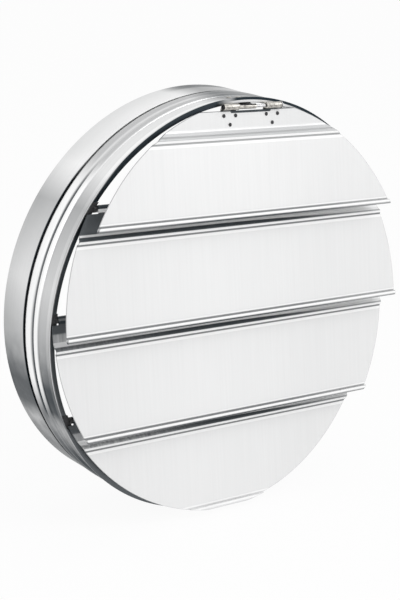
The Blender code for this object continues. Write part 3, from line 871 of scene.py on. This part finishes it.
class LOUVRE_OT_collar(bpy.types.Operator):
    """Make the smooth rear collar that takes the duct"""

    bl_idname = "louvre.collar"
    bl_label = "Rear collar"

    def execute(self, context):
        case = setting("casing")
        path = [(sleeve_middle(), case.collar_front), (sleeve_middle(), case.collar_rear)]
        loop = softened_loop(path, case.sheet)
        piece = mesh_piece("rear_collar_sheet", turned_work(loop, CASING_STEPS), casing_place())
        dress(piece, collar_finish(), "casing", "galvanised_sheet", "rear_collar")
        return {"FINISHED"}


class LOUVRE_OT_body(bpy.types.Operator):
    """Make the beaded front body"""

    bl_idname = "louvre.body"
    bl_label = "Front body"

    def execute(self, context):
        case = setting("casing")
        ridges = ridge(case.bead_1_centre, -case.bead_1_half, case.bead_height, 17)
        ridges += ridge(case.bead_2_centre, -case.bead_2_half, case.bead_height, 15)
        path = [(wall_middle(), case.body_length)]
        path += [(wall_middle() + height, y) for y, height in ridges]
        path.append((wall_middle(), case.sheet + case.fit))
        work = turned_work(softened_loop(path, case.sheet), CASING_STEPS)
        piece = mesh_piece("front_body_sheet", work, casing_place(), sharp=SHARP_FOLD)
        dress(piece, body_finish(), "casing", "galvanised_sheet", "front_body")
        return {"FINISHED"}


class LOUVRE_OT_front_ring(bpy.types.Operator):
    """Make the folded front ring with its notched seat"""

    bl_idname = "louvre.front_ring"
    bl_label = "Front ring"

    def execute(self, context):
        case = setting("casing")
        hem_middle = case.body_radius + case.hem_proud - case.sheet / 2
        seat_middle = case.sheet / 2
        fold_middle = seat_middle + case.sheet + case.fit / 2
        path = [
            (sleeve_middle(), case.sleeve_length),
            (sleeve_middle(), fold_middle),
            (hem_middle, fold_middle),
            (hem_middle, seat_middle),
            (seat_radius(), seat_middle),
        ]
        loop = softened_loop(path, case.sheet)
        piece = mesh_piece("front_ring_sheet", turned_work(loop, CASING_STEPS), casing_place())
        for height in rod_heights().values():
            for side in (-1, 1):
                combine(piece, notch_cutter(height, side), "DIFFERENCE")
        soften_edges(piece, 0.00018)
        shade_smooth(piece.data, SHARP_EDGE)
        dress(piece, ring_finish(), "casing", "galvanised_sheet", "front_ring")
        return {"FINISHED"}


def ring_segment(name, inner, outer, front, back, height, half_height, side):
    """A piece of a ring about Y, between two radii, cut level above and below."""
    work = bmesh.new()
    count = 8
    rows = []
    for step in range(count + 1):
        z = height - half_height + 2 * half_height * step / count
        near = side * math.sqrt(inner**2 - z**2)
        far = side * math.sqrt(outer**2 - z**2)
        rows.append([(near, front, z), (far, front, z), (far, back, z), (near, back, z)])
    rings = add_rings(work, rows, closed=False)
    for row in (rings[0], rings[-1]):
        work.faces.new(row)
    return mesh_piece(name, work, casing_place())


def notch_cutter(height, side):
    case = setting("casing")
    outer = case.body_radius + case.hem_proud - 1.1 * case.sheet
    back = case.sheet * 1.075
    half = case.bush_half_height + case.fit
    return ring_segment("notch", seat_radius() - case.sheet, outer, -case.sheet, back, height, half, side)


class LOUVRE_OT_bushes(bpy.types.Operator):
    """Make the black plastic bushes in the seat's notches"""

    bl_idname = "louvre.bushes"
    bl_label = "Bushes"

    def execute(self, context):
        plastic = dark_finish("bush_plastic", setting("finish").plastic, 0.0)
        for number, height in rod_heights().items():
            for side, word in ((-1, "left"), (1, "right")):
                piece = self.bush(f"bush_{number}_{word}_moulding", height, side)
                dress(piece, plastic, "casing", "black_plastic", f"bush_{number}_{word}")
        return {"FINISHED"}

    def bush(self, name, height, side):
        case = setting("casing")
        blade = setting("blades")
        inner = seat_radius() - case.bush_inset
        notch = case.body_radius + case.hem_proud - 1.1 * case.sheet - case.fit
        body_outer = case.body_radius - case.sheet - case.fit
        half = case.bush_half_height
        piece = ring_segment(name, inner, notch, 0.0, 0.9 * case.sheet, height, half, side)
        body = ring_segment("body", inner, body_outer, 0.45 * case.sheet, case.bush_depth, height, half, side)
        combine(piece, body, "UNION")
        steep = abs(height) + case.bush_boss
        start = math.sqrt(inner**2 - steep**2)
        stop = math.sqrt(body_outer**2 - steep**2)
        boss = rod_work(case.bush_boss, side * start, side * stop)
        combine(piece, mesh_piece("boss", boss, self.boss_place(height)), "UNION")
        bore_radius = blade.rod_radius + case.fit
        bore_stop = math.sqrt(body_outer**2 - (abs(height) + bore_radius) ** 2) - case.sheet / 2
        bore = rod_work(bore_radius, side * (start - 10 * case.sheet), side * bore_stop)
        combine(piece, mesh_piece("bore", bore, self.boss_place(height)), "DIFFERENCE")
        soften_edges(piece, 0.00025)
        shade_smooth(piece.data, SHARP_EDGE)
        return piece

    def boss_place(self, height):
        return (0.0, setting("blades").rod_back - setting("casing").collar_rear, height)


def rod_work(radius, start, stop, chamfer=0.0):
    """A round bar along X."""
    low, high = sorted((start, stop))
    profile = [
        (0.0, low),
        (radius - chamfer, low),
        (radius, low + chamfer),
        (radius, high - chamfer),
        (radius - chamfer, high),
        (0.0, high),
    ]
    return lay_along_x(turned_solid(profile, ROUND_STEPS))


# Blades ---------------------------------------------------------------------------------------------------


def blade_lower_path(strip_y, hem_top):
    """Middle of the sheet as (y, z) from the axis: offset, bead, face and hemmed lower edge."""
    blade = setting("blades")
    sheet = setting("casing").sheet
    face_y = strip_y - blade.face_offset
    corner = [(strip_y, -blade.offset_top), (face_y, -blade.offset_bottom)]
    swell = ridge(-blade.bead_centre, -blade.bead_half, blade.bead_depth, 17)
    path = corner + [(face_y - depth, z) for z, depth in swell]
    fold = (face_y - blade.hem_radius, -hem_top - blade.hem_height + blade.hem_radius + sheet / 2)
    path += arc(fold, blade.hem_radius, 0, -180, 19)
    path.append((face_y - 2 * blade.hem_radius, -hem_top))
    return path


def blade_work(path, height, roll_half):
    """Skin a blade's sheet between the ends that its round outline, or the roll's ends, give it."""
    blade = setting("blades")
    sheet = setting("casing").sheet
    outline = seat_radius() + blade.overlap
    left, right = sheet_sides(path, sheet)
    shoulder_z = -blade.shoulder_drop
    shoulder = None
    if roll_half is not None:
        shoulder = next(i for i, point in enumerate(path) if point.y <= shoulder_z + TOUCHING)
    full = math.sqrt(outline**2 - (height + shoulder_z) ** 2)
    share = roll_half / full if roll_half else 1.0
    inner = [share * (-1 + step / 3) for step in range(7)]
    columns = [-1.0, *inner, 1.0] if roll_half else inner
    work = bmesh.new()
    grids = []
    for side in (left, right):
        rows = []
        for index, point in enumerate(side):
            upper = shoulder is not None and index < shoulder
            reach = full if upper else math.sqrt(max(outline**2 - (height + point.y) ** 2, TOUCHING))
            row = []
            for column, u in enumerate(columns):
                spare = upper and column in (0, len(columns) - 1)
                row.append(None if spare else work.verts.new((u * reach, point.x, point.y)))
            rows.append(row)
        grids.append(rows)
    for rows in grids:
        for low, high in zip(rows, rows[1:]):
            for a, b, c, d in zip(low, low[1:], high[1:], high):
                if a and b and c and d:
                    work.faces.new((a, b, c, d))
    first, second = grids
    for index in range(len(first) - 1):
        for end in (0, -1):
            quads = edge_pair(first, index, end), edge_pair(second, index, end)
            work.faces.new((quads[0][0], quads[0][1], quads[1][1], quads[1][0]))
    for index in (0, -1):
        for a, b, c, d in zip(first[index], first[index][1:], second[index][1:], second[index]):
            if a and b and c and d:
                work.faces.new((a, b, c, d))
    if shoulder is not None:
        for near, far in ((1, 0), (-2, -1)):
            a, b = first[shoulder][near], first[shoulder][far]
            c, d = second[shoulder][far], second[shoulder][near]
            work.faces.new((a, b, c, d))
    return work


def edge_pair(rows, index, end):
    """The vertices at one end of two neighbouring rows."""
    inner = 1 if end == 0 else -2
    low, high = rows[index], rows[index + 1]
    if low[end] is None:
        return low[inner], high[inner]
    return low[end], high[end]


class LOUVRE_OT_blades(bpy.types.Operator):
    """Make the four blades"""

    bl_idname = "louvre.blades"
    bl_label = "Blades"

    def execute(self, context):
        self.hinged_blade()
        for number, height in rod_heights().items():
            self.rod_blade(number, height)
        return {"FINISHED"}

    def rod_blade(self, number, height):
        blade = setting("blades")
        case = setting("casing")
        hem_top = blade.pitch + blade.lap
        if number == 4:
            hem_top = blade.lowest_rise - blade.lowest_hem_rise
        roll = arc((0.0, 0.0), blade.roll_radius, -90, 180, 37)
        web = [(-blade.roll_radius, -blade.shoulder_drop)]
        path = roll + web + blade_lower_path(-blade.roll_radius, hem_top)
        path = subdivide(path, SHEET_SPACING)
        highest = abs(height) + blade.roll_radius + case.sheet
        end_gap = case.bush_inset + blade.side_play + blade.side_clearance
        roll_half = math.sqrt(seat_radius() ** 2 - highest**2) - end_gap
        work = blade_work(path, height, roll_half)
        place = (REST_SHARES[number] * blade.side_play, blade.rod_back - case.collar_rear, height)
        piece = mesh_piece(f"blade_{number}_sheet", work, place, -blade.rest_opening, sharp=SHARP_FOLD)
        finish = blade_finish(number, height, 0.0, hem_top)
        dress(piece, finish, BODY_OF_BLADE[number], "blade_sheet", f"blade_{number}")

    def hinged_blade(self):
        blade = setting("blades")
        hinge = setting("hinge")
        height = hinge_height()
        hem_top = height - rod_heights()[2] + blade.lap
        path = [(hinge.strip_y, -hinge.strip_drop)] + blade_lower_path(hinge.strip_y, hem_top)
        path = subdivide(path, SHEET_SPACING)
        work = blade_work(path, height, None)
        place = hinge_place(blade.top_shift)
        piece = mesh_piece("blade_1_sheet", work, place, -blade.rest_opening, sharp=SHARP_FOLD)
        finish = blade_finish(1, height, hinge.strip_drop, hem_top)
        dress(piece, finish, "top_blade", "blade_sheet", "blade_1")


class LOUVRE_OT_rods(bpy.types.Operator):
    """Make the steel rods in the rolled edges"""

    bl_idname = "louvre.rods"
    bl_label = "Rods"

    def execute(self, context):
        blade = setting("blades")
        case = setting("casing")
        # The rods' steel is painted dark: painted shade inside the rolled edges
        steel = plated_finish("shaded_rod_steel", setting("finish").shaded_rod_steel, 0.3, 500.0)
        body_outer = case.body_radius - case.sheet - case.fit
        for number, height in rod_heights().items():
            bore = blade.rod_radius + case.fit
            half = math.sqrt(body_outer**2 - (abs(height) + bore) ** 2) - case.sheet / 2 - case.fit
            work = rod_work(blade.rod_radius, -half, half, 0.0003)
            place = (0.0, blade.rod_back - case.collar_rear, height)
            piece = mesh_piece(f"rod_{number}_bar", work, place)
            dress(piece, steel, BODY_OF_BLADE[number], "bright_steel", f"rod_{number}")
        return {"FINISHED"}


# Top hinge ------------------------------------------------------------------------------------------------


# Sizes of the small hinge pieces; a rivet is given by its shank's and head's radius and its head's height
LEAF_RIVET = (0.0010, 0.0018, 0.0006)
BRACKET_RIVET = (0.0013, 0.0025, 0.0005)
LEAF_RIVET_PLACES = ((-0.0069, -0.0078), (0.0069, -0.0078), (0.0, -0.0160))
BRACKET_RIVET_SPREAD = 0.0055
BRACKET_RIVET_BACK = 0.0160
PIN_HEAD_RADIUS = 0.0023
PIN_HEAD_LENGTH = 0.0009
PIN_TIP = 0.0009
CLIP_RADIUS = 0.0036
CLIP_LENGTH = 0.0011
ROUNDING = 0.0002               # on turned and cut edges


def hinge_height():
    return seat_radius() - setting("hinge").drop


def hinge_place(x):
    return (x, -setting("hinge").forward - setting("casing").collar_rear, hinge_height())


class LOUVRE_OT_hinge(bpy.types.Operator):
    """Make the top hinge: two leaves, the bracket, the pin and its clip"""

    bl_idname = "louvre.hinge"
    bl_label = "Top hinge"

    def execute(self, context):
        paint = setting("finish")
        # The leaves, the pin and the bracket take painted shade round the knuckles, over the pin's end and
        # round the barrel
        zinc = plated_finish("leaf_zinc", paint.zinc, 0.25, 700.0, knuckle_shade)
        steel = plated_finish("pin_steel", paint.steel, 0.2, 500.0, pin_end_shade)
        for side, word in ((-1, "left"), (1, "right")):
            self.leaf(side, word, zinc)
        self.bracket(plated_finish("bracket_zinc", paint.zinc, 0.25, 500.0, barrel_shade))
        self.pin(steel)
        return {"FINISHED"}

    def leaf(self, side, word, zinc):
        hinge = setting("hinge")
        path = [(hinge.leaf_y, -hinge.leaf_drop), (hinge.leaf_y, -hinge.knuckle_radius)]
        path += arc((0.0, 0.0), hinge.knuckle_radius, 10, 270, 33)
        path = round_corners(path, 0.001)
        loop = softened_loop(path, hinge.leaf_sheet)
        work = folded_work(loop, hinge.leaf_width / 2, 0.6 * ROUNDING)
        place = hinge_place(hinge.offset + side * hinge.leaf_centre)
        tilt = -setting("blades").rest_opening
        piece = mesh_piece(f"hinge_leaf_{word}_rolled", work, place, tilt)
        dress(piece, zinc, "top_blade", "zinc_plated_steel", f"hinge_leaf_{word}")

    def bracket(self, zinc):
        hinge = setting("hinge")
        sheet = setting("casing").sheet
        fit = setting("casing").fit
        path = arc((0.0, 0.0), hinge.barrel_radius, -45, -270, 31)
        path += [
            (hinge.barrel_radius + sheet, hinge.bracket_low),
            (hinge.forward + 2 * sheet + fit, hinge.bracket_low),
            (hinge.forward + 4 * sheet, hinge.bracket_high),
            (hinge.bracket_length, hinge.bracket_high),
        ]
        path = round_corners(path, 0.0008)
        loop = softened_loop(path, hinge.bracket_sheet)
        work = folded_work(loop, hinge.bracket_width / 2, 0.5 * ROUNDING)
        piece = mesh_piece("hinge_bracket_strip", work, hinge_place(hinge.offset + hinge.bracket_centre))
        dress(piece, zinc, "casing", "zinc_plated_steel", "hinge_bracket")

    def pin(self, steel):
        hinge = setting("hinge")
        fit = setting("casing").fit
        end = hinge.leaf_centre + hinge.leaf_width / 2 + fit
        tip = end + CLIP_LENGTH + PIN_TIP
        profile = [
            (0.0, -end - PIN_HEAD_LENGTH),
            (PIN_HEAD_RADIUS - 5 * ROUNDING, -end - PIN_HEAD_LENGTH),
            (PIN_HEAD_RADIUS - 1.5 * ROUNDING, -end - 0.7 * PIN_HEAD_LENGTH),
            (PIN_HEAD_RADIUS, -end - 0.3 * PIN_HEAD_LENGTH),
            (PIN_HEAD_RADIUS, -end),
            (hinge.pin_radius, -end),
            (hinge.pin_radius, tip - 1.5 * ROUNDING),
            (hinge.pin_radius - 1.5 * ROUNDING, tip),
            (0.0, tip),
        ]
        work = lay_along_x(turned_solid(profile, ROUND_STEPS))
        piece = mesh_piece("hinge_pin_bar", work, hinge_place(hinge.offset))
        dress(piece, steel, "casing", "bright_steel", "hinge_pin")
        bore = hinge.pin_radius + fit
        clip = [(bore, 0.0), (CLIP_RADIUS - ROUNDING, 0.0), (CLIP_RADIUS, ROUNDING)]
        clip += [(CLIP_RADIUS, CLIP_LENGTH / 2), (bore + ROUNDING, CLIP_LENGTH), (bore, CLIP_LENGTH)]
        work = lay_along_x(turned_work(clip, ROUND_STEPS))
        piece = mesh_piece("hinge_pin_clip_washer", work, hinge_place(hinge.offset + end))
        clip_steel = plated_finish("clip_steel", setting("finish").steel, 0.2, 500.0)
        dress(piece, clip_steel, "casing", "bright_steel", "hinge_pin_clip")


class LOUVRE_OT_rivets(bpy.types.Operator):
    """Make the rivets of the leaves and of the bracket"""

    bl_idname = "louvre.rivets"
    bl_label = "Rivets"

    def execute(self, context):
        hinge = setting("hinge")
        sheet = setting("casing").sheet
        fit = setting("casing").fit
        dark = dark_finish("rivet_dark_steel", setting("finish").dark_steel, 0.8)
        zinc = plated_finish("rivet_zinc", setting("finish").zinc, 0.25, 900.0)
        grip = sheet + hinge.leaf_sheet + 3 * fit
        front = hinge.strip_y - sheet / 2 - fit
        for side, word in ((-1, "left"), (1, "right")):
            for index, (x, z) in enumerate(LEAF_RIVET_PLACES, start=1):
                work = self.rivet(*LEAF_RIVET, grip)
                bmesh.ops.translate(work, vec=(x, front, z), verts=work.verts)
                place = hinge_place(hinge.offset + side * hinge.leaf_centre)
                name = f"leaf_rivet_{word}_{index}"
                piece = mesh_piece(f"{name}_shank", work, place, -setting("blades").rest_opening)
                dress(piece, dark, "top_blade", "dark_steel", name)
            underside = hinge_height() + hinge.bracket_high - hinge.bracket_sheet / 2 - fit
            top = wall_middle() + sheet / 2 + fit
            work = self.rivet(*BRACKET_RIVET, top - underside)
            bmesh.ops.rotate(work, matrix=Matrix.Rotation(math.radians(-90), 3, "X"), verts=work.verts)
            x = hinge.offset + hinge.bracket_centre + side * BRACKET_RIVET_SPREAD
            place = (x, BRACKET_RIVET_BACK - setting("casing").collar_rear, top)
            piece = mesh_piece(f"bracket_rivet_{word}_shank", work, place)
            dress(piece, zinc, "casing", "zinc_plated_steel", f"bracket_rivet_{word}")
        return {"FINISHED"}

    def rivet(self, radius, head_radius, head_height, grip):
        """A domed head in front, a shank and a spread tail."""
        dome = [(head_radius * math.sin(a), -head_height * math.cos(a)) for a in (0.0, 0.4, 0.8, 1.15, 1.4)]
        tail = 0.85 * head_radius
        profile = dome + [
            (head_radius, 0.0),
            (radius, 0.0),
            (radius, grip),
            (tail, grip),
            (tail, grip + 0.6 * head_height),
            (0.5 * head_radius, grip + head_height),
            (0.0, grip + head_height),
        ]
        return turned_solid(profile, RIVET_STEPS)


# Stage ----------------------------------------------------------------------------------------------------


class LOUVRE_OT_stage(bpy.types.Operator):
    """Make the floor, the soft lights and the camera"""

    bl_idname = "louvre.stage"
    bl_label = "Stage"

    def execute(self, context):
        self.floor()
        self.world()
        self.lamps()
        self.camera()
        context.scene.view_settings.view_transform = "Standard"
        return {"FINISHED"}

    def floor(self):
        case = setting("casing")
        stage = setting("stage")
        work = bmesh.new()
        bmesh.ops.create_grid(work, x_segments=2, y_segments=2, size=30.0)
        level = -(case.body_radius + case.hem_proud) - 0.0002
        piece = mesh_piece("studio_floor", work, (0.0, 0.0, level))
        finish = new_finish("pale_floor")
        mottle = finish.noise(finish.place()[0], 3.0, 2.0)
        finish.set("Base Color", finish.mix(mottle, stage.floor, tuple(c * 0.985 for c in stage.floor)))
        finish.set("Roughness", 0.9)
        finish.set("Specular IOR Level", 0.0)
        lit = self.seen_directly(finish) * 0.94
        glow = finish.node("ShaderNodeEmission", None, {"Color": (1.0, 1.0, 1.0), "Strength": 1.0})
        plain = Socket(finish, finish.shader.outputs[0])
        mixed = finish.node("ShaderNodeMixShader", None, {"Fac": lit, 1: plain, 2: glow})
        finish.tree.links.new(mixed.output, finish.tree.nodes["Material Output"].inputs["Surface"])
        piece.data.materials.append(finish.material)

    def seen_directly(self, finish):
        """1 for camera, glossy and transmission rays."""
        rays = ["Is Camera Ray", "Is Glossy Ray", "Is Transmission Ray"]
        seen = [finish.node("ShaderNodeLightPath", None, None, ray) for ray in rays]
        return seen[0] + seen[1] + seen[2]

    def world(self):
        world = bpy.data.worlds.new("studio")
        bpy.context.scene.world = world
        finish = Finish(world)
        ambient = setting("stage").ambient
        background = finish.tree.nodes["Background"].inputs
        finish.fill(background["Color"], (1.0, 1.0, 1.0))
        finish.fill(background["Strength"], self.seen_directly(finish) * (1.0 - ambient) + ambient)

    def lamps(self):
        self.lamp("key", (1.0, -1.9, 1.9), 1.4, 26.0)
        self.lamp("fill", (-2.2, -1.2, 0.9), 1.6, 12.0)

    def lamp(self, name, place, size, power):
        data = bpy.data.lights.new(name, "AREA")
        data.size = size
        data.energy = power
        lamp = bpy.data.objects.new(name, data)
        bpy.context.scene.collection.objects.link(lamp)
        lamp.location = place
        lamp.rotation_euler = (Vector((0.0, 0.0, 0.0)) - Vector(place)).to_track_quat("-Z", "Y").to_euler()

    def camera(self):
        stage = setting("stage")
        data = bpy.data.cameras.new("studio_camera")
        data.lens = stage.lens
        data.sensor_width = 36.0
        data.clip_end = 100.0
        camera = bpy.data.objects.new("studio_camera", data)
        bpy.context.scene.collection.objects.link(camera)
        yaw, pitch, roll = stage.camera_yaw, stage.camera_pitch, stage.camera_roll
        forward = Vector((math.sin(yaw) * math.cos(pitch), math.cos(yaw) * math.cos(pitch), -math.sin(pitch)))
        level = Vector((math.cos(yaw), -math.sin(yaw), 0.0))
        upright = level.cross(forward)
        right = level * math.cos(roll) + upright * math.sin(roll)
        up = upright * math.cos(roll) - level * math.sin(roll)
        axes = Matrix((right, up, -forward)).transposed()
        camera.matrix_world = Matrix.Translation(Vector(stage.camera_place)) @ axes.to_4x4()
        bpy.context.scene.camera = camera


# Panel and start ------------------------------------------------------------------------------------------


MAKERS = (
    LOUVRE_OT_stage,
    LOUVRE_OT_collar,
    LOUVRE_OT_body,
    LOUVRE_OT_front_ring,
    LOUVRE_OT_bushes,
    LOUVRE_OT_blades,
    LOUVRE_OT_rods,
    LOUVRE_OT_hinge,
    LOUVRE_OT_rivets,
)

SETTINGS = {
    "casing": CasingSettings,
    "blades": BladeSettings,
    "hinge": HingeSettings,
    "finish": FinishSettings,
    "stage": StageSettings,
}


class LOUVRE_PT_panel(bpy.types.Panel):
    """Lists the makers and their settings"""

    bl_label = "Louvre damper"
    bl_space_type = "VIEW_3D"
    bl_region_type = "UI"
    bl_category = "Louvre"

    def draw(self, context):
        for maker in MAKERS:
            self.layout.operator(maker.bl_idname)
        for name, group in SETTINGS.items():
            box = self.layout.box()
            box.label(text=name.capitalize())
            for key in group.__annotations__:
                box.prop(setting(name), key)


def register():
    for name, group in SETTINGS.items():
        bpy.utils.register_class(group)
        setattr(bpy.types.Scene, f"louvre_{name}", bpy.props.PointerProperty(type=group))
    for maker in MAKERS:
        bpy.utils.register_class(maker)
    bpy.utils.register_class(LOUVRE_PT_panel)


def unregister():
    bpy.utils.unregister_class(LOUVRE_PT_panel)
    for maker in reversed(MAKERS):
        bpy.utils.unregister_class(maker)
    for name, group in SETTINGS.items():
        delattr(bpy.types.Scene, f"louvre_{name}")
        bpy.utils.unregister_class(group)


def main():
    register()
    for maker in MAKERS:
        family, action = maker.bl_idname.split(".")
        getattr(getattr(bpy.ops, family), action)()


if __name__ == "__main__":
    main()
